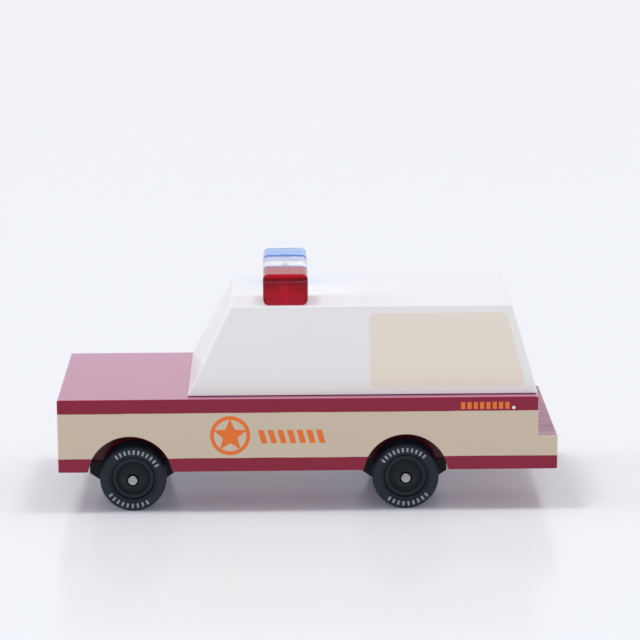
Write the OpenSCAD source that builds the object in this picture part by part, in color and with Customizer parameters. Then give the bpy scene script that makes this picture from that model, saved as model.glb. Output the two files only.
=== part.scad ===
// Toy police car, built from painted wood blocks on two turning wheelsets.
// +X points forward, +Y to the car's left and +Z up, in millimetres.
// The origin is on the floor, under the middle of the body.

/* [Lower body] */
// Length of the lower body, rear step included
body_length = 105; // [95:0.5:120]
// Width of the lower body
body_width = 44; // [40:0.5:54]
// Height of the lower body
body_height = 15.7; // [14.5:0.1:20]
// How far the rear step stands out as a bumper
bumper_depth = 4.1; // [2:0.1:7]
// Height of the rear step above the underside
bumper_height = 7.3; // [5:0.1:10]

/* [Cabin] */
// Length of the bare hood in front of the cabin
hood_length = 27.3; // [22:0.1:32]
// Height of the cabin block
cabin_height = 18.6; // [14:0.1:26]
// Width of the cabin where it stands on the body
cabin_base_width = 39.4; // [37:0.1:40]
// Width of the roof
roof_width = 33; // [32:0.1:36]
// How far the windscreen leans back over the cabin's height
windscreen_run = 9.3; // [5:0.1:14]
// How far the rear face leans forward over the cabin's height
tailgate_run = 5.3; // [2:0.1:9]

/* [Wheels and axles] */
// Distance from the front of the body to the middle of the front arch
front_overhang = 15.1; // [13:0.1:18]
// Distance between the middles of the two arches
wheelbase = 58; // [52:0.1:64]
// How far the front axle sits behind the middle of its arch
front_axle_setback = 0.5; // [0:0.1:0.8]
// Diameter of a wheel over its tread
wheel_diameter = 14; // [12.5:0.1:15.5]
// Width of a tyre
tyre_width = 6; // [5:0.1:7.5]
// Radius of the tyre's rounded shoulders
shoulder_radius = 0.6; // [0.3:0.1:0.9]
// How far the tyre's outer face lies inside the body's side
wheel_inset = 1.3; // [1.2:0.1:2]
// Diameter of the hub where the tyre grips it
hub_diameter = 9.2; // [8.8:0.1:9.8]
// Diameter of an axle
axle_diameter = 2; // [1.6:0.1:2.4]
// How far an axle's end stands out past the tyre's outer face
axle_reach = 1.2; // [1:0.1:1.2]
// Depth of the axle's centre below the underside of the body
axle_drop = 1.8; // [1.6:0.1:2.2]
// Room between the tread and the arch
arch_gap = 1.93; // [1.6:0.01:2.4]
// Height of the arch's centre above the axle
arch_lift = 0.55; // [0.3:0.01:0.9]

/* [Axle carriers] */
// Length of an axle carrier along the car
carrier_length = 18; // [17:0.1:20]
// Depth of the seat that a carrier is let into
carrier_seat_depth = 0.5; // [0.3:0.1:1]
// Depth of a carrier's lower face below the axle's centre
carrier_under_axle = 2.5; // [2.2:0.1:3.2]
// Length of the slope along the carrier's lower edges
carrier_slope_run = 3.1; // [2:0.1:3.4]
// Height of that slope
carrier_slope_rise = 2.1; // [1.2:0.1:2.4]

/* [Light bar] */
// Width of the light bar, along the car
light_width = 9.5; // [8:0.1:12]
// Height of the light bar
light_height = 6.5; // [5:0.1:9]
// Length of the red block and of the blue block, across the car
light_end_length = 9.8; // [8:0.1:10.2]
// Length of the clear block in the middle
light_middle_length = 11.4; // [8:0.1:12]
// Radius of the light blocks' edges
light_edge_radius = 0.9; // [0.5:0.1:1.3]
// Distance from the front of the roof to the light bar
light_setback = 6.7; // [4:0.1:10]

/* [Pins, dowels and screws] */
// Diameter of a pin that holds a light block
light_pin_diameter = 1.5; // [1.2:0.1:2]
// Height of that pin inside the light block
light_pin_height = 3.4; // [2.5:0.1:4]
// Depth of that pin in the roof
light_pin_depth = 6; // [4:0.1:9]
// Diameter of a cabin dowel
dowel_diameter = 6; // [4:0.1:8]
// Depth of a dowel in each block
dowel_depth = 7; // [5:0.1:7.5]
// Diameter of a carrier screw's shank
screw_diameter = 1.8; // [1.5:0.1:2]
// Depth of a carrier screw in the wood
screw_depth = 5.5; // [4:0.1:6]
// Diameter of a carrier screw's head
screw_head_diameter = 3.4; // [3:0.1:3.6]
// Distance of each carrier screw from the middle of its arch
screw_offset = 3.8; // [3.7:0.05:4]

/* [Fits] */
// Radial room between an axle and its carrier
running_gap = 0.05; // [0.02:0.01:0.08]
// Radial room at a glued, pressed or screwed fit
press_gap = 0.02; // [0.01:0.01:0.04]
// Sideways play of a wheelset between a hub and its carrier
side_play = 0.3; // [0.2:0.05:0.5]
// Room left at the blind end of a glued or screwed hole
end_room = 0.4; // [0.2:0.1:0.8]

/* [Hidden] */
$fn = 64;

// One overrun serves every cut.
overrun = 1;
// Straight pieces in a rounded corner, a shoulder or a hub's dome
arc_steps = 6;

// Heights above the floor
wheel_radius = wheel_diameter / 2;
axle_z = wheel_radius;
underside_z = axle_z + axle_drop;
bumper_z = underside_z + bumper_height;
deck_z = underside_z + body_height;
roof_z = deck_z + cabin_height;

// Places along the car
nose_x = body_length / 2;
tail_x = -body_length / 2;
step_x = tail_x + bumper_depth;
cabin_front_x = nose_x - hood_length;
roof_front_x = cabin_front_x - windscreen_run;
roof_rear_x = step_x + tailgate_run;
front_arch_x = nose_x - front_overhang;
rear_arch_x = front_arch_x - wheelbase;
arch_places = [front_arch_x, rear_arch_x];
front_axle_x = front_arch_x - front_axle_setback;
rear_axle_x = rear_arch_x;
light_x = roof_front_x - light_setback - light_width / 2;

// How far a carrier's ends lie inside the spine that carries it
carrier_recess = 0.2;

// Places across the car
side_y = body_width / 2;
tyre_face_y = side_y - wheel_inset;
spine_y = tyre_face_y - tyre_width - side_play;
carrier_end_y = spine_y - carrier_recess;
light_end_y = light_middle_length / 2 + light_end_length / 2;

// Wheel arches
arch_radius = wheel_radius + arch_gap;
arch_z = axle_z + arch_lift;

// Axle carriers
carrier_top_z = underside_z + carrier_seat_depth;
carrier_bottom_z = axle_z - carrier_under_axle;
carrier_slope_z = carrier_bottom_z + carrier_slope_rise;
carrier_foot = carrier_length / 2 - carrier_slope_run;

// Carrier screws: a cone head with a cross recess
screw_head_share = 0.45;
screw_head_height = screw_head_diameter * screw_head_share;
screw_tip_share = 0.8;
screw_tip_length = screw_diameter * screw_tip_share;
screw_length = carrier_top_z - carrier_bottom_z + screw_depth;
screw_slot_shares = [0.62, 0.16, 0.4];
screw_slot = screw_head_diameter * screw_slot_shares;

// Cabin dowels: their places along the cabin, measured from its front base edge
dowel_share = 0.24;
cabin_length = cabin_front_x - step_x;
dowel_places = [cabin_front_x - cabin_length * dowel_share, step_x + cabin_length * dowel_share];

// Tyre: how far its beads lie in from its faces, and where the flat sidewall starts
tyre_bead_depth = 0.55;
tyre_sidewall_run = 0.7;
hub_radius = hub_diameter / 2;
tyre_bore = hub_radius + press_gap;

// Hub, measured in from its rim and out from the tyre's outer face
hub_back = 0.4;
hub_boss_wall = 1.2;
hub_groove_width = 0.3;
hub_groove_depth = 1.5;
hub_lip_width = 0.55;
hub_lip_depth = 0.9;
hub_trough_width = 0.35;
hub_trough_depth = 1.9;
hub_dome_width = 0.2;
hub_dome_depth = 1.4;
hub_dome_rise = 2.4;
hub_recess_wall = 0.28;
hub_recess_depth = 0.6;
hub_bore = axle_diameter / 2 + press_gap;
hub_recess = axle_diameter / 2 + hub_recess_wall;
hub_lip_out = hub_radius - hub_groove_width;
hub_lip_in = hub_lip_out - hub_lip_width;
hub_trough = hub_lip_in - hub_trough_width;
hub_dome = hub_trough - hub_dome_width;
hub_dome_end = acos(hub_recess / hub_dome);
hub_dome_top = hub_dome_rise * sin(hub_dome_end) - hub_dome_depth;

// Points of an ellipse about [x, y], from one angle to another
function arc(x, y, rx, ry, from, to) = [
    for (i = [0 : arc_steps])
        let (a = from + (to - from) * i / arc_steps)
        [x + rx * cos(a), y + ry * sin(a)]
];

// Rectangle about the origin with rounded corners
function rounded_rectangle(width, height, radius) = concat(
    arc(width / 2 - radius, height / 2 - radius, radius, radius, 0, 90),
    arc(radius - width / 2, height / 2 - radius, radius, radius, 90, 180),
    arc(radius - width / 2, radius - height / 2, radius, radius, 180, 270),
    arc(width / 2 - radius, radius - height / 2, radius, radius, 270, 360)
);

// Outlines seen from the car's side, as [x, z]
body_outline = [
    [tail_x, underside_z], [nose_x, underside_z], [nose_x, deck_z],
    [step_x, deck_z], [step_x, bumper_z], [tail_x, bumper_z],
];
cabin_side_outline = [
    [step_x, deck_z], [cabin_front_x, deck_z], [roof_front_x, roof_z], [roof_rear_x, roof_z],
];
carrier_outline = [
    [carrier_length / 2, carrier_top_z], [-carrier_length / 2, carrier_top_z],
    [-carrier_length / 2, carrier_slope_z], [-carrier_foot, carrier_bottom_z],
    [carrier_foot, carrier_bottom_z], [carrier_length / 2, carrier_slope_z],
];

// Outline of the cabin seen from the front, as [y, z]
cabin_front_outline = [
    [-cabin_base_width / 2, deck_z], [cabin_base_width / 2, deck_z],
    [roof_width / 2, roof_z], [-roof_width / 2, roof_z],
];

// Half sections of a tyre and a hub, as [radius, distance out from the tyre's outer face]
tyre_outline = concat(
    [[tyre_bore, -tyre_bead_depth], [tyre_bore, tyre_bead_depth - tyre_width]],
    [[tyre_bore + tyre_sidewall_run, -tyre_width]],
    arc(wheel_radius - shoulder_radius, shoulder_radius - tyre_width,
        shoulder_radius, shoulder_radius, -90, 0),
    arc(wheel_radius - shoulder_radius, -shoulder_radius, shoulder_radius, shoulder_radius, 0, 90),
    [[tyre_bore + tyre_sidewall_run, 0]]
);
hub_outline = concat(
    [[hub_bore, -tyre_width], [hub_bore + hub_boss_wall, -tyre_width]],
    [[hub_bore + hub_boss_wall, hub_back - tyre_width], [hub_radius, hub_back - tyre_width]],
    [[hub_radius, -hub_groove_depth], [hub_lip_out, -hub_groove_depth]],
    [[hub_lip_out, -hub_lip_depth], [hub_lip_in, -hub_lip_depth]],
    [[hub_trough, -hub_trough_depth], [hub_dome, -hub_trough_depth]],
    arc(0, -hub_dome_depth, hub_dome, hub_dome_rise, 0, hub_dome_end),
    [[hub_recess, hub_dome_top - hub_recess_depth], [hub_bore, hub_dome_top - hub_recess_depth]]
);

// Prism across the car from an outline of [x, z] points
module side_prism(outline, width) {
    rotate([90, 0, 0])
        linear_extrude(height = width, center = true)
            polygon(outline);
}

// Prism along the car from an outline of [y, z] points
module front_prism(outline, length) {
    rotate([90, 0, 90])
        linear_extrude(height = length, center = true)
            polygon(outline);
}

// Cylinder across the car, from its place towards +Y
module cross_cylinder(radius, length) {
    rotate([-90, 0, 0])
        cylinder(h = length, r = radius);
}

// Block with rounded edges, standing on its base
module rounded_block(size, radius) {
    translate([0, 0, size[2] / 2])
        intersection() {
            side_prism(rounded_rectangle(size[0], size[2], radius), size[1]);
            front_prism(rounded_rectangle(size[1], size[2], radius), size[0]);
            linear_extrude(height = size[2], center = true)
                polygon(rounded_rectangle(size[0], size[1], radius));
        }
}

// Puts a shape drawn about Z on a wheel, with Z out of the tyre's outer face
module on_wheel(axle_x, side) {
    translate([axle_x, side * tyre_face_y, axle_z])
        rotate([-90 * side, 0, 0])
            children();
}

// Puts one copy at each screw of a carrier, on the carrier's lower face
module at_carrier_screws(arch_x) {
    for (side = [-1, 1])
        translate([arch_x + side * screw_offset, 0, carrier_bottom_z])
            children();
}

// Puts one copy at the middle of each light block, on the roof
module at_lights() {
    for (place = [-1, 0, 1])
        translate([light_x, place * light_end_y, roof_z])
            children();
}

// Solid that a screw or its hole fills, from the head's face up
module screw_shape(gap, length) {
    head_radius = screw_head_diameter / 2 + gap;
    shank_radius = screw_diameter / 2 + gap;
    rotate_extrude()
        polygon([
            [0, 0], [head_radius, 0], [shank_radius, screw_head_height],
            [shank_radius, length - screw_tip_length], [0, length],
        ]);
}

module body_block() {
    color("#832f43")
        difference() {
            side_prism(body_outline, body_width);
            for (x = arch_places, side = [-1, 1])
                translate([x, side > 0 ? spine_y : -side_y - overrun, arch_z])
                    cross_cylinder(arch_radius, side_y - spine_y + overrun);
            for (x = arch_places) {
                translate([x, 0, underside_z])
                    cube([carrier_length + 2 * press_gap, 2 * spine_y + overrun, 2 * carrier_seat_depth],
                        center = true);
                at_carrier_screws(x)
                    screw_shape(press_gap, screw_length + end_room);
            }
            for (x = dowel_places)
                translate([x, 0, deck_z - dowel_depth - end_room])
                    cylinder(h = dowel_depth + end_room + overrun, r = dowel_diameter / 2 + press_gap);
        }
}

module cabin_block() {
    color("#eceded")
        difference() {
            intersection() {
                side_prism(cabin_side_outline, body_width);
                front_prism(cabin_front_outline, body_length);
            }
            for (x = dowel_places)
                translate([x, 0, deck_z - overrun])
                    cylinder(h = dowel_depth + end_room + overrun, r = dowel_diameter / 2 + press_gap);
            at_lights()
                translate([0, 0, -light_pin_depth - end_room])
                    cylinder(h = light_pin_depth + end_room + overrun, r = light_pin_diameter / 2 + press_gap);
        }
}

module cabin_dowels() {
    color("#d8b98a")
        for (x = dowel_places)
            translate([x, 0, deck_z - dowel_depth])
                cylinder(h = 2 * dowel_depth, r = dowel_diameter / 2);
}

module axle_carrier(arch_x, axle_x) {
    color("#26262a")
        difference() {
            translate([arch_x, 0, 0])
                side_prism(carrier_outline, 2 * carrier_end_y);
            translate([axle_x, -carrier_end_y - overrun, axle_z])
                cross_cylinder(axle_diameter / 2 + running_gap, 2 * (carrier_end_y + overrun));
            at_carrier_screws(arch_x)
                screw_shape(press_gap, screw_length + end_room);
        }
}

module carrier_screws(arch_x) {
    color("#9c9ca0")
        at_carrier_screws(arch_x)
            difference() {
                screw_shape(0, screw_length);
                for (turn = [0, 90])
                    rotate([0, 0, turn])
                        cube([screw_slot[0], screw_slot[1], screw_slot[2]], center = true);
            }
}

module light_block(y, length, shade) {
    color(shade)
        difference() {
            translate([light_x, y, roof_z])
                rounded_block([light_width, length, light_height], light_edge_radius);
            translate([light_x, y, roof_z - overrun])
                cylinder(h = light_pin_height + end_room + overrun, r = light_pin_diameter / 2 + press_gap);
        }
}

module light_pins() {
    color("#c4c4c8")
        at_lights()
            translate([0, 0, -light_pin_depth])
                cylinder(h = light_pin_depth + light_pin_height, r = light_pin_diameter / 2);
}

module axle(axle_x) {
    axle_half = tyre_face_y + axle_reach;
    color("#c9c9cc")
        translate([axle_x, -axle_half, axle_z])
            cross_cylinder(axle_diameter / 2, 2 * axle_half);
}

module hub(axle_x, side) {
    color("#23282b")
        on_wheel(axle_x, side)
            rotate_extrude()
                polygon(hub_outline);
}

module tyre(axle_x, side) {
    color("#1d2124")
        on_wheel(axle_x, side)
            rotate_extrude()
                polygon(tyre_outline);
}

body_block();
cabin_block();
cabin_dowels();
axle_carrier(front_arch_x, front_axle_x);  // front_axle_carrier
axle_carrier(rear_arch_x, rear_axle_x);  // rear_axle_carrier
carrier_screws(front_arch_x);  // front_carrier_screws
carrier_screws(rear_arch_x);  // rear_carrier_screws
light_block(light_end_y, light_end_length, "#b5202f");  // light_red
light_block(0, light_middle_length, "#e4eaf0");  // light_clear
light_block(-light_end_y, light_end_length, "#6f9be8");  // light_blue
light_pins();
axle(front_axle_x);  // front_axle
hub(front_axle_x, 1);  // front_left_hub
tyre(front_axle_x, 1);  // front_left_tyre
hub(front_axle_x, -1);  // front_right_hub
tyre(front_axle_x, -1);  // front_right_tyre
axle(rear_axle_x);  // rear_axle
hub(rear_axle_x, 1);  // rear_left_hub
tyre(rear_axle_x, 1);  // rear_left_tyre
hub(rear_axle_x, -1);  // rear_right_hub
tyre(rear_axle_x, -1);  // rear_right_tyre
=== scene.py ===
import math

import bmesh
import bpy
from mathutils import Matrix, Vector


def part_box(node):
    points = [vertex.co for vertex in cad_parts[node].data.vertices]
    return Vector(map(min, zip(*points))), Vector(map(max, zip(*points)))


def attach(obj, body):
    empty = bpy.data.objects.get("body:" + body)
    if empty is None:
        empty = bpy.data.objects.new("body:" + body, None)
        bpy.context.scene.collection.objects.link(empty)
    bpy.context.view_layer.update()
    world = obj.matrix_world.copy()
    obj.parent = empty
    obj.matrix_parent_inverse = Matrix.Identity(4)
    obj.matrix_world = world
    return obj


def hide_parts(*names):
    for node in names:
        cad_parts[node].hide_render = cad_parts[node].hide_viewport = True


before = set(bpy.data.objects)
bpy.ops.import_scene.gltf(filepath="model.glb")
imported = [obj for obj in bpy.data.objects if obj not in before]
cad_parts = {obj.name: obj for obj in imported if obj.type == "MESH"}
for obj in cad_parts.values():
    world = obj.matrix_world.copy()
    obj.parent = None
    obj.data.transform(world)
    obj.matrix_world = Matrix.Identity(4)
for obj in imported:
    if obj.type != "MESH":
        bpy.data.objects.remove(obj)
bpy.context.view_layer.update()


# Lower body: one block of beech with a step left at the back as a bumper, bored from each side
# for the wheels and milled underneath for the axle carriers. Its edges are lightly sanded and it
# is sprayed maroon, with a beige band masked along each side and flat prints on and above it.
# A pale pink painted sheen is mixed into its colours at glancing angles, and the insides of the
# arches are painted darker as painted shade.
MM = 0.001
SIDES = {"left": 1, "right": -1}
SQUARE_ON = 0.9
body_low, body_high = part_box("body_block")
cabin_low, cabin_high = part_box("cabin_block")
carrier_boxes = {end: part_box(f"{end}_axle_carrier") for end in ("front", "rear")}
bumper_height = 7.3 * MM
arch_radius = 8.93 * MM
arch_lift = 0.55 * MM
carrier_recess = 0.2 * MM
body_edge = 0.35 * MM
overrun = 1 * MM


def add_block(name, low, high):
    """A box between two corners, with its place in its mesh."""
    bpy.ops.object.select_all(action="DESELECT")
    bpy.ops.mesh.primitive_cube_add(size=1, location=(low + high) / 2, scale=high - low)
    bpy.ops.object.transform_apply(location=True, rotation=True, scale=True)
    bpy.context.object.name = name
    return bpy.context.object


def add_drum(name, centre, y_from, y_to, radius, facets=96):
    """A cylinder across the car about a centre, between two places on Y."""
    bpy.ops.object.select_all(action="DESELECT")
    bpy.ops.mesh.primitive_cylinder_add(
        vertices=facets, radius=radius, depth=abs(y_to - y_from),
        location=(centre.x, (y_from + y_to) / 2, centre.z), rotation=(math.pi / 2, 0, 0))
    bpy.ops.object.transform_apply(location=True, rotation=True, scale=True)
    bpy.context.object.name = name
    return bpy.context.object


def pick(kind, suits):
    """Selects the faces or edges that suit a test, and no others, in edit mode."""
    bpy.ops.mesh.select_mode(type=kind)
    bpy.ops.mesh.select_all(action="DESELECT")
    mesh = bmesh.from_edit_mesh(bpy.context.object.data)
    for part in mesh.faces if kind == "FACE" else mesh.edges:
        if suits(part):
            part.select_set(True)
    bmesh.update_edit_mesh(bpy.context.object.data)


def extrude(x=0, y=0, z=0):
    """Pulls the picked faces out along the car's axes."""
    bpy.ops.mesh.extrude_region_move(TRANSFORM_OT_translate={"value": (x, y, z)})


def apply_modifier(piece, modifier):
    """Makes a modifier part of the mesh."""
    bpy.ops.object.select_all(action="DESELECT")
    piece.select_set(True)
    bpy.context.view_layer.objects.active = piece
    bpy.ops.object.modifier_apply(modifier=modifier.name)


def carve(piece, cutter):
    """Cuts a shape out of a piece and throws the cutter away."""
    cut = piece.modifiers.new("cut", "BOOLEAN")
    cut.operation = "DIFFERENCE"
    cut.object = cutter
    apply_modifier(piece, cut)
    bpy.data.objects.remove(cutter)


def round_edges(piece, width, steps=3, limit="ANGLE"):
    """Rounds the sharp edges of a piece, or its weighted ones, and shades its flats flat."""
    for face in piece.data.polygons:
        face.use_smooth = True
    bevel = piece.modifiers.new("edges", "BEVEL")
    bevel.width = width
    bevel.segments = steps
    bevel.limit_method = limit
    bevel.use_clamp_overlap = False
    bevel.harden_normals = True
    apply_modifier(piece, bevel)


step_top = body_low.z + bumper_height
body = add_block("body", Vector((cabin_low.x, body_low.y, body_low.z)), body_high)
bpy.ops.object.mode_set(mode="EDIT")
bpy.ops.mesh.select_all(action="SELECT")
bpy.ops.mesh.bisect(plane_co=(0, 0, step_top), plane_no=(0, 0, 1))
pick("FACE", lambda f: f.normal.x < -SQUARE_ON and f.calc_center_median().z < step_top)
extrude(x=body_low.x - cabin_low.x)
bpy.ops.object.mode_set(mode="OBJECT")
axle_centres = {end: sum(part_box(f"{end}_axle"), Vector()) / 2 for end in carrier_boxes}
arch_centres = []
for end, (carrier_low, carrier_high) in carrier_boxes.items():
    arch_x = (carrier_low.x + carrier_high.x) / 2
    arch_centre = Vector((arch_x, 0, axle_centres[end].z + arch_lift))
    arch_centres.append(arch_centre)
    spine = carrier_high.y + carrier_recess
    arch_mouth = body_high.y + overrun
    for side in SIDES.values():
        carve(body, add_drum("arch", arch_centre, side * spine, side * arch_mouth, arch_radius))
    seat_low = Vector((carrier_low.x, -spine - overrun, body_low.z - overrun))
    seat_high = Vector((carrier_high.x, spine + overrun, carrier_high.z))
    carve(body, add_block("seat", seat_low, seat_high))
round_edges(body, body_edge)


def srgb(red, green, blue):
    """A colour as a camera shows it, turned into light."""
    shares = (channel / 255 for channel in (red, green, blue))
    return tuple(s / 12.92 if s < 0.04045 else ((s + 0.055) / 1.055) ** 2.4 for s in shares) + (1.0,)


def new_finish(name):
    """A new material and its tree, with the shader to fill in."""
    material = bpy.data.materials.new(name)
    material.use_nodes = True
    tree = material.node_tree
    return material, tree, tree.nodes["Principled BSDF"]


def calc(tree, operation, first, second=0.0):
    """One sum on numbers or sockets."""
    node = tree.nodes.new("ShaderNodeMath")
    node.operation = operation
    for socket, value in zip(node.inputs, (first, second)):
        if isinstance(value, (int, float)):
            socket.default_value = value
        else:
            tree.links.new(value, socket)
    return node.outputs[0]


def greatest(tree, first, *others):
    """The greatest of several values."""
    for other in others:
        first = calc(tree, "MAXIMUM", first, other)
    return first


def distance(tree, value, place):
    """How far a value lies from a place, on either side of it."""
    return calc(tree, "ABSOLUTE", calc(tree, "SUBTRACT", value, place))


def diagonal(tree, across, up):
    """The straight length of a run across and a rise."""
    squares = calc(tree, "ADD", calc(tree, "POWER", across, 2.0), calc(tree, "POWER", up, 2.0))
    return calc(tree, "SQRT", squares)


def object_place(tree):
    """Object coordinates in millimetres, as three sockets."""
    coordinates = tree.nodes.new("ShaderNodeTexCoord")
    to_mm = tree.nodes.new("ShaderNodeVectorMath")
    to_mm.operation = "SCALE"
    to_mm.inputs["Scale"].default_value = 1 / MM
    tree.links.new(coordinates.outputs["Object"], to_mm.inputs[0])
    split = tree.nodes.new("ShaderNodeSeparateXYZ")
    tree.links.new(to_mm.outputs[0], split.inputs[0])
    return split.outputs


def noise(tree, scale, stretch=(1, 1, 1), detail=3.0, roughness=0.5):
    """Noise over object coordinates, with a stretch along each axis."""
    coordinates = tree.nodes.new("ShaderNodeTexCoord")
    mapping = tree.nodes.new("ShaderNodeMapping")
    mapping.inputs["Scale"].default_value = stretch
    texture = tree.nodes.new("ShaderNodeTexNoise")
    texture.inputs["Scale"].default_value = scale
    texture.inputs["Detail"].default_value = detail
    texture.inputs["Roughness"].default_value = roughness
    tree.links.new(coordinates.outputs["Object"], mapping.inputs["Vector"])
    tree.links.new(mapping.outputs["Vector"], texture.inputs["Vector"])
    return texture.outputs["Fac"]


def spread(tree, value, low, high):
    """Turns a 0 to 1 value into a range."""
    node = tree.nodes.new("ShaderNodeMapRange")
    node.inputs["To Min"].default_value = low
    node.inputs["To Max"].default_value = high
    tree.links.new(value, node.inputs["Value"])
    return node.outputs["Result"]


def inside(tree, depth):
    """1 where a depth in millimetres is above zero, with a thin soft edge."""
    soft_edge = 0.03
    node = tree.nodes.new("ShaderNodeMapRange")
    node.inputs["From Min"].default_value = -soft_edge
    node.inputs["From Max"].default_value = soft_edge
    tree.links.new(depth, node.inputs["Value"])
    return node.outputs["Result"]


def between(tree, value, low, high):
    """How deep a value lies between two limits."""
    above_low = calc(tree, "SUBTRACT", value, low)
    below_high = calc(tree, "SUBTRACT", high, value)
    return calc(tree, "MINIMUM", above_low, below_high)


def coat_over(tree, under, over, mask):
    """One paint over another where the mask is 1."""
    node = tree.nodes.new("ShaderNodeMix")
    node.data_type = "RGBA"
    tree.links.new(mask, node.inputs["Factor"])
    for socket, colour in ((node.inputs[6], under), (node.inputs[7], over)):
        if isinstance(colour, tuple):
            socket.default_value = colour
        else:
            tree.links.new(colour, socket)
    return node.outputs[2]


def cloudy_gloss(tree, shader, low, high, scale, detail=3.0):
    """A roughness that clouds between two values."""
    cloud = noise(tree, scale, detail=detail)
    tree.links.new(spread(tree, cloud, low, high), shader.inputs["Roughness"])


def add_bump(tree, shader, height, depth, layer="Normal"):
    """Relief of a real depth on a shader's paint, or on its clear coat."""
    bump = tree.nodes.new("ShaderNodeBump")
    bump.inputs["Strength"].default_value = 1.0
    bump.inputs["Distance"].default_value = depth
    tree.links.new(height, bump.inputs["Height"])
    tree.links.new(bump.outputs["Normal"], shader.inputs[layer])


# A gloss is a lowest and a highest roughness, the scale of the clouds and, in some, their detail.
paint_gloss = (0.26, 0.38, 160.0, 2.0)
paint_shine = 0.08
coat_ior = 1.3
coat_roughness = 0.12
grain_stretch = (70, 2600, 2600)
grain_depth = 0.012 * MM
body_coat = 1.0
maroon = srgb(142, 29, 59)
painted_sheen_pink = srgb(244, 179, 221)
painted_sheen_rise = 3.75
saw_stretch = (40, 1300, 40)
saw_dulling = (-1.3, 1.95)
saw_depth = 0.6 * MM
band_beige = srgb(212, 196, 174)
print_orange = srgb(238, 120, 48)
dot_white = srgb(240, 238, 235)
painted_arch_shade = srgb(86, 20, 31)
# Where the paints lie on the body, in millimetres.
arch_skin = 0.12
band_low, band_high = 11.8, 21.55
band_wave, band_wave_scale = 0.12, 120.0
band_skin = 0.25
badge_x, badge_z = 16.3, 16.65
badge_ring = (3.4, 4.22)
star_tip, star_notch, star_points = 3.75, 1.62, 5
bars_x, bars_z = (-3.7, 10.5), (14.9, 17.8)
bars_count, bars_lean, bars_share = 7, 0.28, 0.62
dashes_x, dashes_z = (-42.5, -31.9), (21.95, 23.45)
dashes_count, dashes_share = 8, 0.66
dot_x, dot_z, dot_radius = -43.2, 22.2, 0.35


def painted_wood(tree, shader, coat):
    """Satin paint over sanded beech, whose grain runs along the car and still shows a little."""
    cloudy_gloss(tree, shader, *paint_gloss)
    shader.inputs["Specular IOR Level"].default_value = paint_shine
    shader.inputs["Coat Weight"].default_value = coat
    shader.inputs["Coat IOR"].default_value = coat_ior
    shader.inputs["Coat Roughness"].default_value = coat_roughness
    grain = noise(tree, 1.0, stretch=grain_stretch, detail=4.0, roughness=0.6)
    add_bump(tree, shader, grain, grain_depth)


def row_of_bars(tree, x, z, x_span, z_span, count, share, lean=0.0):
    """How deep a point lies in a row of upright or leaning bars."""
    pitch = (x_span[1] - x_span[0]) / count
    up = calc(tree, "SUBTRACT", z, (z_span[0] + z_span[1]) / 2)
    along = calc(tree, "SUBTRACT", x, calc(tree, "MULTIPLY", up, lean))
    from_gap = calc(tree, "PINGPONG", calc(tree, "SUBTRACT", along, x_span[0]), pitch / 2)
    bar = calc(tree, "SUBTRACT", from_gap, (1 - share) * pitch / 2)
    field = calc(tree, "MINIMUM", between(tree, along, *x_span), between(tree, z, *z_span))
    return calc(tree, "MINIMUM", bar, field)


def reach(tree, x, z, from_x, from_z):
    """Distance from a point on the car's side."""
    return diagonal(tree, calc(tree, "SUBTRACT", x, from_x), calc(tree, "SUBTRACT", z, from_z))


body_paint, tree, shader = new_finish("body_paint")
x, y, z = object_place(tree)
wave = spread(tree, noise(tree, band_wave_scale, detail=2.0), -band_wave, band_wave)
wavy_z = calc(tree, "ADD", z, wave)
on_side = inside(tree, calc(tree, "SUBTRACT", distance(tree, y, 0.0), body_high.y / MM - band_skin))
band = calc(tree, "MULTIPLY", on_side, inside(tree, between(tree, wavy_z, band_low, band_high)))
from_badge = reach(tree, x, z, badge_x, badge_z)
ring = inside(tree, between(tree, from_badge, *badge_ring))
half_point = math.pi / star_points
badge_across = calc(tree, "SUBTRACT", x, badge_x)
badge_up = calc(tree, "SUBTRACT", z, badge_z)
from_tip = calc(tree, "PINGPONG", calc(tree, "ARCTAN2", badge_across, badge_up), half_point)
out = calc(tree, "MULTIPLY", from_badge, calc(tree, "COSINE", from_tip))
aside = calc(tree, "MULTIPLY", from_badge, calc(tree, "SINE", from_tip))
notch_out = star_notch * math.cos(half_point)
notch_aside = star_notch * math.sin(half_point)
point_side = math.hypot(star_tip - notch_out, notch_aside)
short_of_tip = calc(tree, "MULTIPLY", calc(tree, "SUBTRACT", star_tip, out), notch_aside / point_side)
toward_side = calc(tree, "MULTIPLY", aside, (star_tip - notch_out) / point_side)
star = inside(tree, calc(tree, "SUBTRACT", short_of_tip, toward_side))
bars = inside(tree, row_of_bars(tree, x, z, bars_x, bars_z, bars_count, bars_share, bars_lean))
dashes = inside(tree, row_of_bars(tree, x, z, dashes_x, dashes_z, dashes_count, dashes_share))
prints = greatest(tree, ring, star, bars, dashes)
dot = inside(tree, calc(tree, "SUBTRACT", dot_radius, reach(tree, x, z, dot_x, dot_z)))
colour = coat_over(tree, maroon, band_beige, band)
colour = coat_over(tree, colour, print_orange, calc(tree, "MULTIPLY", on_side, prints))
colour = coat_over(tree, colour, dot_white, calc(tree, "MULTIPLY", on_side, dot))
# Painted shade: the insides of the arches are painted a darker maroon for the shade in them.
for centre in arch_centres:
    from_arch = reach(tree, x, z, centre.x / MM, centre.z / MM)
    in_arch_shade = inside(tree, calc(tree, "SUBTRACT", arch_radius / MM + arch_skin, from_arch))
    colour = coat_over(tree, colour, painted_arch_shade, in_arch_shade)
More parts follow.
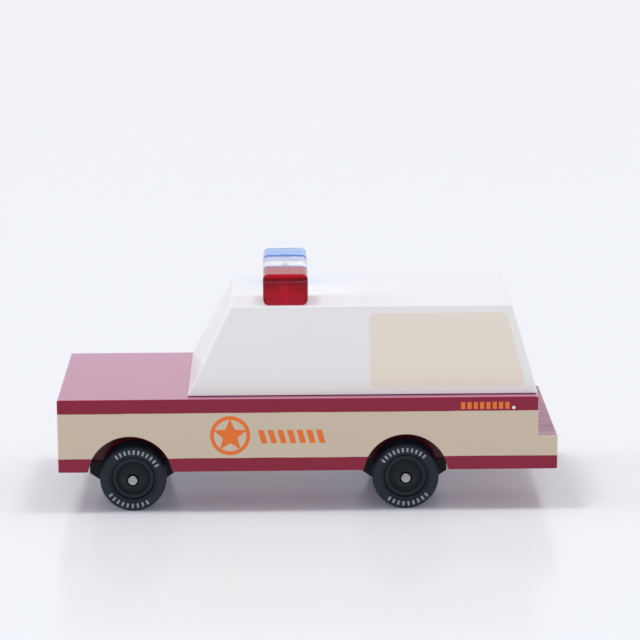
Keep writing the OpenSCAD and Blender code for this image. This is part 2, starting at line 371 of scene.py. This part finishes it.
# Painted sheen: a pale pink is mixed into the paint's colour at glancing angles, in place of the
# reflection of the bright room. The saw marks on the step break up this painted sheen.
glance = tree.nodes.new("ShaderNodeLayerWeight")
painted_sheen = calc(tree, "POWER", glance.outputs["Facing"], painted_sheen_rise)
on_step = inside(tree, calc(tree, "SUBTRACT", cabin_low.x / MM, x))
saw_lines = noise(tree, 1.0, stretch=saw_stretch, detail=2.0)
saw_marks = spread(tree, saw_lines, *saw_dulling)
dulled = calc(tree, "MULTIPLY", on_step, calc(tree, "MAXIMUM", saw_marks, 0.0))
painted_sheen = calc(tree, "MULTIPLY", painted_sheen, calc(tree, "SUBTRACT", 1.0, dulled))
tree.links.new(coat_over(tree, colour, painted_sheen_pink, painted_sheen), shader.inputs["Base Color"])
painted_wood(tree, shader, body_coat)
saw_relief = calc(tree, "MULTIPLY", on_step, saw_lines)
add_bump(tree, shader, saw_relief, saw_depth, layer="Coat Normal")
body.data.materials.append(body_paint)
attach(body, "car")
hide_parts("body_block")


# Axle carriers: black plastic blocks let into the underside in line with the arches and screwed
# up into the wood. Their lower edges slope in, and each is bored across for its axle.
carrier_slope_run = 3.1 * MM
carrier_slope_rise = 2.1 * MM
carrier_edge = 0.2 * MM
running_gap = 0.05 * MM
axle_low, axle_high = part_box("front_axle")
axle_radius = (axle_high.z - axle_low.z) / 2
axle_facets = 48
carrier_black = srgb(31, 30, 33)
carrier_gloss = (0.42, 0.6, 900.0)
carrier_grain, carrier_grain_depth = 4000.0, 0.01 * MM
moulding_shine = 0.2


def copy_of(piece, name, place):
    """A copy of a piece, with a mesh of its own that is put in its place."""
    twin = piece.copy()
    twin.data = piece.data.copy()
    twin.data.transform(place)
    twin.name = name
    bpy.context.scene.collection.objects.link(twin)
    return twin


def moulded(name, colour, gloss, grain, depth, detail=2.0):
    """Moulded plastic or rubber, with a clouded gloss and a fine grain of a real depth."""
    material, tree, shader = new_finish(name)
    shader.inputs["Base Color"].default_value = colour
    shader.inputs["Specular IOR Level"].default_value = moulding_shine
    cloudy_gloss(tree, shader, *gloss)
    add_bump(tree, shader, noise(tree, grain, detail=detail), depth)
    return material


carrier_low, carrier_high = carrier_boxes["front"]
shoulder = Vector((carrier_low.x, carrier_low.y, carrier_low.z + carrier_slope_rise))
carrier = add_block("front_carrier", shoulder, carrier_high)
bpy.ops.object.mode_set(mode="EDIT")
pick("FACE", lambda f: f.normal.z < -SQUARE_ON)
extrude(z=-carrier_slope_rise)
foot_share = 1 - 2 * carrier_slope_run / (carrier_high.x - carrier_low.x)
bpy.ops.transform.resize(value=(foot_share, 1, 1))
bpy.ops.object.mode_set(mode="OBJECT")
to_rear_seat = Matrix.Translation(carrier_boxes["rear"][0] - carrier_low)
carriers = {"front": carrier, "rear": copy_of(carrier, "rear_carrier", to_rear_seat)}

carrier_plastic = moulded(
    "carrier_plastic", carrier_black, carrier_gloss, carrier_grain, carrier_grain_depth)
bore_radius = axle_radius + running_gap
bore_end = carrier_high.y + overrun
for end, carrier in carriers.items():
    carve(carrier, add_drum("bore", axle_centres[end], -bore_end, bore_end, bore_radius, axle_facets))
    round_edges(carrier, carrier_edge)
    carrier.data.materials.append(carrier_plastic)
    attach(carrier, "car")
    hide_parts(f"{end}_axle_carrier")


# Carrier screws: small zinc-plated wood screws with countersunk heads and a cross recess,
# driven up through each carrier. They keep their solid's shape.
zinc = srgb(176, 176, 182)
zinc_gloss = (0.28, 0.45, 2500.0)


def new_metal(name, colour, gloss):
    """A bare metal with a clouded gloss, with its tree and its shader."""
    material, tree, shader = new_finish(name)
    shader.inputs["Base Color"].default_value = colour
    shader.inputs["Metallic"].default_value = 1.0
    cloudy_gloss(tree, shader, *gloss)
    return material, tree, shader


def refinish(node, material):
    """Gives a piece that keeps its solid's shape a finish of its own."""
    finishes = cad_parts[node].data.materials
    finishes.clear()
    finishes.append(material)


screw_zinc, _, _ = new_metal("screw_zinc", zinc, zinc_gloss)
for end in carrier_boxes:
    refinish(f"{end}_carrier_screws", screw_zinc)


# Axles: bright drawn steel rod, cut to length with the burr rolled off and a shallow recess turned
# in each end. The ends show in the middle of the hubs, and the rod turns in the carriers.
axle_edge, axle_edge_steps = 0.25 * MM, 3
axle_land, axle_recess = 0.2 * MM, 0.14 * MM
front_centre = axle_centres["front"]
few_corners = 8
smooth_angle = math.radians(30)
steel = srgb(184, 184, 188)
steel_gloss = (0.3, 0.5, 3000.0, 4.0)
steel_grain, steel_grain_depth = 2600.0, 0.02 * MM


def end_face(outward):
    """A test for the round end face that looks along +Y or -Y."""
    return lambda f: f.normal.y * outward > SQUARE_ON and len(f.verts) > few_corners


def sink(narrower, out):
    """Steps the picked round face in by a width, and out along its own normal."""
    bpy.ops.mesh.inset(thickness=narrower, depth=out)


rod = add_drum("front_axle_rod", front_centre, axle_low.y, axle_high.y, axle_radius, axle_facets)
bpy.ops.object.mode_set(mode="EDIT")
pick("EDGE", lambda e: abs(e.verts[0].co.y - e.verts[1].co.y) < axle_edge)
bpy.ops.mesh.bevel(offset=axle_edge, segments=axle_edge_steps, affect="EDGES")
for look in SIDES.values():
    pick("FACE", end_face(look))
    sink(axle_land, 0)
    sink(axle_recess, -axle_recess)
bpy.ops.object.mode_set(mode="OBJECT")
bpy.ops.object.shade_smooth_by_angle(angle=smooth_angle)
to_rear_axle = Matrix.Translation(axle_centres["rear"] - front_centre)
rods = {"front": rod, "rear": copy_of(rod, "rear_axle_rod", to_rear_axle)}

axle_steel, tree, shader = new_metal("axle_steel", steel, steel_gloss)
add_bump(tree, shader, noise(tree, steel_grain), steel_grain_depth)
for end, rod in rods.items():
    rod.data.materials.append(axle_steel)
    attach(rod, f"{end}_wheelset")
    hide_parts(f"{end}_axle")


# Hubs: moulded black plastic, pressed on the axle. A low lip stands round a shallow trough, and
# a dome rises from the trough to a narrow recess where the axle's end shows.
hub_low, hub_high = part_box("front_left_hub")
tyre_low, tyre_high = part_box("front_left_tyre")
hub_radius = (hub_high.z - hub_low.z) / 2
hub_back = 0.4 * MM
hub_boss_wall = 1.2 * MM
# The groove, lip and trough each have a width and a depth below the tyre's outer wall.
hub_groove = (0.25 * MM, 1.5 * MM)
hub_lip = (0.75 * MM, 0.9 * MM)
hub_trough = (0.1 * MM, 1.15 * MM)
hub_dome_gap = 0.1 * MM
hub_dome_base = 1.05 * MM
hub_dome_slopes = (45, 39)
hub_recess_wall = 0.36 * MM
hub_recess_depth = 1.2 * MM
hub_edge, hub_edge_steps = 0.03 * MM, 2
press_gap = 0.02 * MM
dome_steps = 8
hub_black = srgb(36, 42, 47)
hub_gloss = (0.34, 0.46, 1200.0)
hub_grain, hub_grain_depth = 5000.0, 0.006 * MM


def either_end(face):
    """A test for the round end faces on both sides."""
    return any(end_face(look)(face) for look in SIDES.values())


def at_each_wheel(piece, ending, turn_at_rear=0):
    """Copies of a piece made at the front left wheel, one for each wheel, by end and side."""
    pieces = {}
    for end in axle_centres:
        for side_name in SIDES:
            about = Matrix.Rotation(math.pi if side_name == "right" else 0, 4, "Z")
            turn = Matrix.Rotation(math.radians(turn_at_rear if end == "rear" else 0), 4, "Y")
            from_front = Matrix.Translation(-front_centre)
            place = Matrix.Translation(axle_centres[end]) @ about @ turn @ from_front
            pieces[end, side_name] = copy_of(piece, f"{end}_{side_name}_{ending}", place)
    bpy.data.objects.remove(piece)
    return pieces


hub_bore = axle_radius + press_gap
hub_front = tyre_high.y - hub_groove[1]
hub = add_drum("hub", front_centre, hub_low.y + hub_back, hub_front, hub_radius)
bpy.ops.object.mode_set(mode="EDIT")
pick("FACE", end_face(-1))
sink(hub_radius - hub_bore - hub_boss_wall, 0)
extrude(y=-hub_back)
sink(hub_boss_wall, 0)
pick("FACE", end_face(1))
sink(hub_groove[0], 0)
extrude(y=hub_groove[1] - hub_lip[1])
sink(hub_lip[0], 0)
sink(hub_trough[0], hub_lip[1] - hub_trough[1])
sink(hub_dome_gap, 0)
extrude(y=hub_trough[1] - hub_dome_base)
dome_radius = hub_radius - hub_groove[0] - hub_lip[0] - hub_trough[0] - hub_dome_gap
dome_step = (dome_radius - axle_radius - hub_recess_wall) / dome_steps
for step in range(dome_steps):
    way_in = (step + 0.5) / dome_steps
    slope = hub_dome_slopes[0] + (hub_dome_slopes[1] - hub_dome_slopes[0]) * way_in
    sink(dome_step, dome_step * math.tan(math.radians(slope)))
extrude(y=-hub_recess_depth)
sink(hub_recess_wall - press_gap, 0)
pick("FACE", either_end)
bpy.ops.mesh.bridge_edge_loops()
bpy.ops.object.mode_set(mode="OBJECT")
round_edges(hub, hub_edge, hub_edge_steps)

hub_plastic = moulded("hub_plastic", hub_black, hub_gloss, hub_grain, hub_grain_depth)
hub.data.materials.append(hub_plastic)
for (end, side_name), each_hub in at_each_wheel(hub, "hub_disc").items():
    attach(each_hub, f"{end}_wheelset")
    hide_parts(f"{end}_{side_name}_hub")


# Tyres: moulded black rubber, stretched over the hubs, with rounded shoulders and a plain tread.
# Two rows of small white bars are printed round the outer wall.
shoulder_radius, shoulder_steps = 0.6 * MM, 6
sidewall_run = 0.7 * MM
bead_depth = 0.55 * MM
tyre_radius = (tyre_high.z - tyre_low.z) / 2
tyre_bore = hub_radius + press_gap
tyre_facets = 128
rim_near = 0.01 * tyre_radius
tyre_black = srgb(40, 47, 55)
tyre_gloss = (0.5, 0.68, 1500.0)
tyre_grain, tyre_grain_depth = 3500.0, 0.012 * MM
mark_white = srgb(176, 182, 192)
mark_worn = srgb(120, 126, 134)
mark_wear = 2200.0
mark_roughness = 0.6
mark_radius = 5.85 * MM
mark_size = Vector((0.42, 0.05, 0.95)) * MM
mark_corner, mark_corner_steps = 0.12 * MM, 2
# Each row's middle in degrees, its number of bars and their pitch in degrees.
mark_rows = {"upper": (0, 11, 9.5), "lower": (180, 9, 10.5)}
front_turn, rear_turn = -12, 6


def rim_edge(edge):
    """A test for the edges round the tread's two rims."""
    a, b = (v.co - front_centre for v in edge.verts)
    far = all(math.hypot(p.x, p.z) > tyre_radius - rim_near for p in (a, b))
    return far and abs(a.y - b.y) < rim_near


tyre = add_drum("tyre", front_centre, tyre_low.y, tyre_high.y, tyre_radius, tyre_facets)
bpy.ops.object.mode_set(mode="EDIT")
for look in SIDES.values():
    pick("FACE", end_face(look))
    sink(tyre_radius - tyre_bore - sidewall_run, 0)
    sink(sidewall_run, -bead_depth)
pick("FACE", either_end)
bpy.ops.mesh.bridge_edge_loops()
pick("EDGE", rim_edge)
bpy.ops.mesh.bevel(offset=shoulder_radius, segments=shoulder_steps, affect="EDGES")
bpy.ops.object.mode_set(mode="OBJECT")
bpy.ops.object.shade_smooth_by_angle(angle=smooth_angle)

tyre_rubber = moulded(
    "tyre_rubber", tyre_black, tyre_gloss, tyre_grain, tyre_grain_depth, detail=4.0)
tyre.data.materials.append(tyre_rubber)
for (end, side_name), each_tyre in at_each_wheel(tyre, "tyre_ring").items():
    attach(each_tyre, f"{end}_wheelset")
    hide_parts(f"{end}_{side_name}_tyre")

mark_place = Vector((front_centre.x, tyre_high.y, front_centre.z + mark_radius))
mark = add_block("mark", mark_place - mark_size / 2, mark_place + mark_size / 2)
bpy.ops.object.mode_set(mode="EDIT")
pick("EDGE", lambda e: abs(e.verts[0].co.y - e.verts[1].co.y) > mark_size.y / 2)
bpy.ops.mesh.bevel(offset=mark_corner, segments=mark_corner_steps, affect="EDGES")
bpy.ops.object.mode_set(mode="OBJECT")
marks = []
to_centre, from_centre = Matrix.Translation(-front_centre), Matrix.Translation(front_centre)
for middle, count, pitch in mark_rows.values():
    for bar in range(count):
        turn = math.radians(middle + front_turn + (bar - (count - 1) / 2) * pitch)
        place = from_centre @ Matrix.Rotation(turn, 4, "Y") @ to_centre
        marks.append(copy_of(mark, "mark_copy", place))
bpy.data.objects.remove(mark)
bpy.ops.object.select_all(action="DESELECT")
for mark in marks:
    mark.select_set(True)
bpy.context.view_layer.objects.active = marks[0]
bpy.ops.object.join()

mark_paint, tree, shader = new_finish("tyre_mark_paint")
worn = noise(tree, mark_wear, detail=4.0)
tree.links.new(coat_over(tree, mark_worn, mark_white, worn), shader.inputs["Base Color"])
shader.inputs["Roughness"].default_value = mark_roughness
marks[0].data.materials.append(mark_paint)
all_marks = at_each_wheel(marks[0], "tyre_marks", rear_turn - front_turn)
for (end, side_name), wheel_marks in all_marks.items():
    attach(wheel_marks, f"{end}_wheelset")


# Cabin dowels: two lengths of bare beech dowel, glued half into the lower body and half into the
# cabin. They are out of sight and keep their solid's shape.
dowel_pale = srgb(222, 190, 146)
dowel_dark = srgb(196, 158, 112)
dowel_grain_stretch = (2400, 2400, 90)
dowel_grain_depth = 0.03 * MM
dowel_roughness = 0.7

dowel_beech, tree, shader = new_finish("dowel_beech")
grain = noise(tree, 1.0, stretch=dowel_grain_stretch, detail=4.0)
tree.links.new(coat_over(tree, dowel_dark, dowel_pale, grain), shader.inputs["Base Color"])
shader.inputs["Roughness"].default_value = dowel_roughness
add_bump(tree, shader, grain, dowel_grain_depth)
refinish("cabin_dowels", dowel_beech)


# Cabin: a second block of beech, sawn to a sloped windscreen and rear face with sides that lean
# in, and sprayed white with a beige window masked on each side. It is glued on the lower body by
# a foot that is set in a little, which leaves a thin dark joint all round.
windscreen_run = 9.3 * MM
tailgate_run = 5.3 * MM
roof_width = 33 * MM
cabin_edge = 0.3 * MM
cabin_foot_share = 0.4
joint_gap = 0.2 * MM
joint_depth = 2 * MM
cabin_coat = 0.5
cabin_white = srgb(240, 239, 239)
window_beige = srgb(238, 228, 214)
# The window's edges on the cabin's sides, in millimetres.
window_front, window_z = -13.1, (26.15, 41.5)
window_rear = (-45.9, -41.9)
window_corner = 1.4


def in_joint(vert):
    """A test for the corners of the glued foot, which is set in from the cabin's sides."""
    return vert.co.z < cabin_low.z + overrun and abs(vert.co.y) < cabin_high.y - joint_depth / 2


cabin = add_block("cabin", cabin_low + Vector((0, 0, joint_gap)), cabin_high)
bpy.ops.object.mode_set(mode="EDIT")
pick("FACE", lambda f: f.normal.z < -SQUARE_ON)
bpy.ops.mesh.inset(thickness=joint_depth)
extrude(z=-joint_gap)
pick("FACE", lambda f: f.normal.z > SQUARE_ON)
foot = cabin_high - cabin_low
roof_length = foot.x - windscreen_run - tailgate_run
bpy.ops.transform.resize(value=(roof_length / foot.x, roof_width / foot.y, 1))
bpy.ops.transform.translate(value=((tailgate_run - windscreen_run) / 2, 0, 0))
pick("EDGE", lambda e: any(in_joint(v) for v in e.verts))
bpy.ops.mesh.mark_sharp()
pick("EDGE", lambda e: not any(in_joint(v) for v in e.verts))
bpy.ops.transform.edge_bevelweight(value=cabin_foot_share)
pick("EDGE", lambda e: any(v.co.z > cabin_low.z + overrun for v in e.verts))
bpy.ops.transform.edge_bevelweight(value=1 - cabin_foot_share)
bpy.ops.object.mode_set(mode="OBJECT")
round_edges(cabin, cabin_edge, limit="WEIGHT")

cabin_paint, tree, shader = new_finish("cabin_paint")
x, _, z = object_place(tree)
lean = (window_rear[1] - window_rear[0]) / (window_z[1] - window_z[0])
above_sill = calc(tree, "SUBTRACT", z, window_z[0])
rear_line = calc(tree, "ADD", window_rear[0], calc(tree, "MULTIPLY", above_sill, lean))
past_front = calc(tree, "SUBTRACT", x, window_front - window_corner)
past_rear = calc(tree, "SUBTRACT", calc(tree, "ADD", rear_line, window_corner), x)
past_sill = calc(tree, "SUBTRACT", window_z[0] + window_corner, z)
past_head = calc(tree, "SUBTRACT", z, window_z[1] - window_corner)
past_along = greatest(tree, past_front, past_rear, 0.0)
past_up = greatest(tree, past_sill, past_head, 0.0)
window = inside(tree, calc(tree, "SUBTRACT", window_corner, diagonal(tree, past_along, past_up)))
tree.links.new(coat_over(tree, cabin_white, window_beige, window), shader.inputs["Base Color"])
painted_wood(tree, shader, cabin_coat)
cabin.data.materials.append(cabin_paint)
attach(cabin, "car")
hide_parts("cabin_block")


# Light pins: short steel pins that stand up out of the roof, one into each light block. They
# show faintly through the blocks and keep their solid's shape.
pin_bright = srgb(244, 244, 246)
pin_gloss = (0.4, 0.6, 2000.0)

pin_plating, _, _ = new_metal("pin_plating", pin_bright, pin_gloss)
refinish("light_pins", pin_plating)


# Light blocks: three blocks of cast resin, red, clear and blue, set side by side on their pins.
# They are polished, with a fine matt line under a rounded rim, and left as sawn where they meet.
# The rim is painted a deeper tint as painted shade, and the line a pale colour as a painted
# highlight. Only the red one is dense enough to shade the roof.
light_edge, light_edge_steps = 1.2 * MM, 6
light_foot_share = 0.2
light_gap = 0.02 * MM
glue_depth = 0.05 * MM
seam_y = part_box("light_clear")[1].y
sawn_roughness = 0.55
polish_roughness, polish_cloud = (0.02, 0.05), 700.0
rim_shade_layers = 3.0
resin_ior = 1.41
resin_glint = srgb(196, 196, 200)
painted_line_highlight = srgb(255, 244, 214)
resin_tints = {
    "red": srgb(210, 9, 36),
    "clear": srgb(230, 229, 230),
    "blue": srgb(108, 152, 228),
}
# Where the matt faces, painted rim shade and line highlight lie on a block, in millimetres.
sawn_skin, line_height = 0.15, 0.22
rim_start, rim_height, rim_drop = 0.6, 0.5, 0.2


def foot_edge(foot_z):
    """A test for the two edges of a light block's foot that run along the car."""
    def suits(edge):
        a, b = (v.co for v in edge.verts)
        return max(a.z, b.z) < foot_z + overrun and a.y == b.y
    return suits


for tint, colour in resin_tints.items():
    light_low, light_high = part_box(f"light_{tint}")
    light_low += Vector((0, light_gap, -glue_depth))
    light_high -= Vector((0, light_gap, 0))
    light = add_block(f"{tint}_light", light_low, light_high)
    bpy.ops.object.mode_set(mode="EDIT")
    bpy.ops.mesh.select_all(action="SELECT")
    bpy.ops.transform.edge_bevelweight(value=1)
    pick("EDGE", foot_edge(light_low.z))
    bpy.ops.transform.edge_bevelweight(value=light_foot_share - 1)
    bpy.ops.object.mode_set(mode="OBJECT")
    round_edges(light, light_edge, light_edge_steps, limit="WEIGHT")

    resin, tree, shader = new_finish(f"{tint}_resin")
    shader.inputs["Transmission Weight"].default_value = 1.0
    shader.inputs["IOR"].default_value = resin_ior
    shader.inputs["Specular Tint"].default_value = resin_glint
    x, y, z = object_place(tree)
    middle = (light_low + light_high) / 2 / MM
    flat_half = ((light_high - light_low) / 2 - Vector((light_edge, light_edge, light_edge))) / MM
    past_end = calc(tree, "SUBTRACT", distance(tree, x, middle.x), flat_half.x)
    past_side = calc(tree, "SUBTRACT", distance(tree, y, middle.y), flat_half.y)
    above_flat = calc(tree, "SUBTRACT", z, middle.z + flat_half.z)
    from_seam = distance(tree, distance(tree, y, 0.0), seam_y / MM)
    corner_rim = calc(tree, "SUBTRACT", calc(tree, "MINIMUM", past_end, past_side), rim_start)
    top_rim = between(tree, above_flat, -rim_drop, rim_height)
    seam_rim = calc(tree, "MINIMUM", calc(tree, "SUBTRACT", rim_height, from_seam), above_flat)
    rim_shade_mask = inside(tree, greatest(tree, corner_rim, top_rim, seam_rim))
    line = inside(tree, between(tree, above_flat, -rim_drop - line_height, -rim_drop))
    # Painted shade deepens the tint on the rims, and a painted highlight makes the line pale.
    painted_rim_shade = tuple(share ** rim_shade_layers for share in colour)
    tinted = coat_over(tree, coat_over(tree, colour, painted_rim_shade, rim_shade_mask), painted_line_highlight, line)
    tree.links.new(tinted, shader.inputs["Base Color"])
    sawn = inside(tree, calc(tree, "SUBTRACT", sawn_skin, from_seam))
    matt = calc(tree, "MULTIPLY", greatest(tree, sawn, line), sawn_roughness)
    polish = spread(tree, noise(tree, polish_cloud), *polish_roughness)
    tree.links.new(calc(tree, "ADD", polish, matt), shader.inputs["Roughness"])
    light.data.materials.append(resin)
    light.visible_shadow = tint == "red"
    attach(light, "car")
    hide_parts(f"light_{tint}")


# Studio: a pale floor under soft lamps from both sides of the picture and from above, a softer one
# from the camera's side, a weak bluish fill without shadow and a sky that is brighter behind the
# car. The camera stands at the car's left, a little ahead of its middle, and looks slightly down.
camera_place = Vector((5.95, 592.1, 167.1)) * MM
camera_yaw, camera_pitch, camera_roll = 0.866, 12.44, -0.302
camera_lens, camera_sensor = 158.0, 36.0
floor_half = 6.0
floor_white = srgb(240, 241, 242)
floor_roughness, floor_shine = 0.18, 0.18
sky_white = srgb(236, 237, 241)
sky_front, sky_back = 0.52, 0.95
sky_patch = (-0.55, -0.9)
# Lamps as the camera sees them: strength, softness in degrees and the way that the light goes.
lamps = {
    "low_left_lamp": (0.66, 12, (-0.2, 0, -0.06)),
    "high_left_lamp": (0.77, 12, (-0.08, -0.005, -0.19)),
    "high_right_lamp": (0.55, 12, (0.05, -0.005, -0.15)),
    "low_right_lamp": (0.43, 12, (0.13, 0, -0.04)),
    "front_lamp": (0.55, 30, (0, -0.14, -0.03)),
    "fill_lamp": (0.23, 12, (0, 0, -0.2)),
}
fill_tint = (0.78, 0.9, 1.3)
glint_lamps = ("high_left_lamp", "high_right_lamp")

bpy.ops.object.select_all(action="DESELECT")
bpy.ops.mesh.primitive_plane_add(size=2 * floor_half, location=(0, 0, 0))
floor = bpy.context.object
floor.name = "floor"
floor_paper, tree, shader = new_finish("floor_paper")
shader.inputs["Base Color"].default_value = floor_white
shader.inputs["Roughness"].default_value = floor_roughness
shader.inputs["Specular IOR Level"].default_value = floor_shine
floor.data.materials.append(floor_paper)

world = bpy.data.worlds.new("studio")
bpy.context.scene.world = world
world.use_nodes = True
tree = world.node_tree
sky = tree.nodes["Background"]
sky.inputs["Color"].default_value = sky_white
direction = tree.nodes.new("ShaderNodeTexCoord")
heading = tree.nodes.new("ShaderNodeSeparateXYZ")
tree.links.new(direction.outputs["Generated"], heading.inputs[0])
glow = tree.nodes.new("ShaderNodeMapRange")
glow.inputs["From Min"].default_value = sky_patch[0]
glow.inputs["From Max"].default_value = sky_patch[1]
glow.inputs["To Min"].default_value = sky_front
glow.inputs["To Max"].default_value = sky_back
tree.links.new(heading.outputs["Y"], glow.inputs["Value"])
tree.links.new(glow.outputs["Result"], sky.inputs["Strength"])

for name, (strength, softness, aim) in lamps.items():
    lamp = bpy.data.objects.new(name, bpy.data.lights.new(name, "SUN"))
    lamp.data.energy = strength
    lamp.data.angle = math.radians(softness)
    lamp.rotation_mode = "QUATERNION"
    lamp.rotation_quaternion = Vector(aim).to_track_quat("-Z", "Y")
    lamp.visible_glossy = name in glint_lamps
    if name == "fill_lamp":
        lamp.data.color = fill_tint
        lamp.data.use_shadow = False
    bpy.context.scene.collection.objects.link(lamp)

camera = bpy.data.objects.new("camera", bpy.data.cameras.new("camera"))
camera.data.sensor_width = camera_sensor
camera.data.lens = camera_lens
turn = Matrix.Rotation(math.radians(180 - camera_yaw), 4, "Z")
tilt = Matrix.Rotation(math.radians(90 - camera_pitch), 4, "X")
roll = Matrix.Rotation(math.radians(camera_roll), 4, "Z")
camera.matrix_world = Matrix.Translation(camera_place) @ turn @ tilt @ roll
bpy.context.scene.collection.objects.link(camera)
bpy.context.scene.camera = camera
bpy.context.scene.view_settings.view_transform = "Standard"
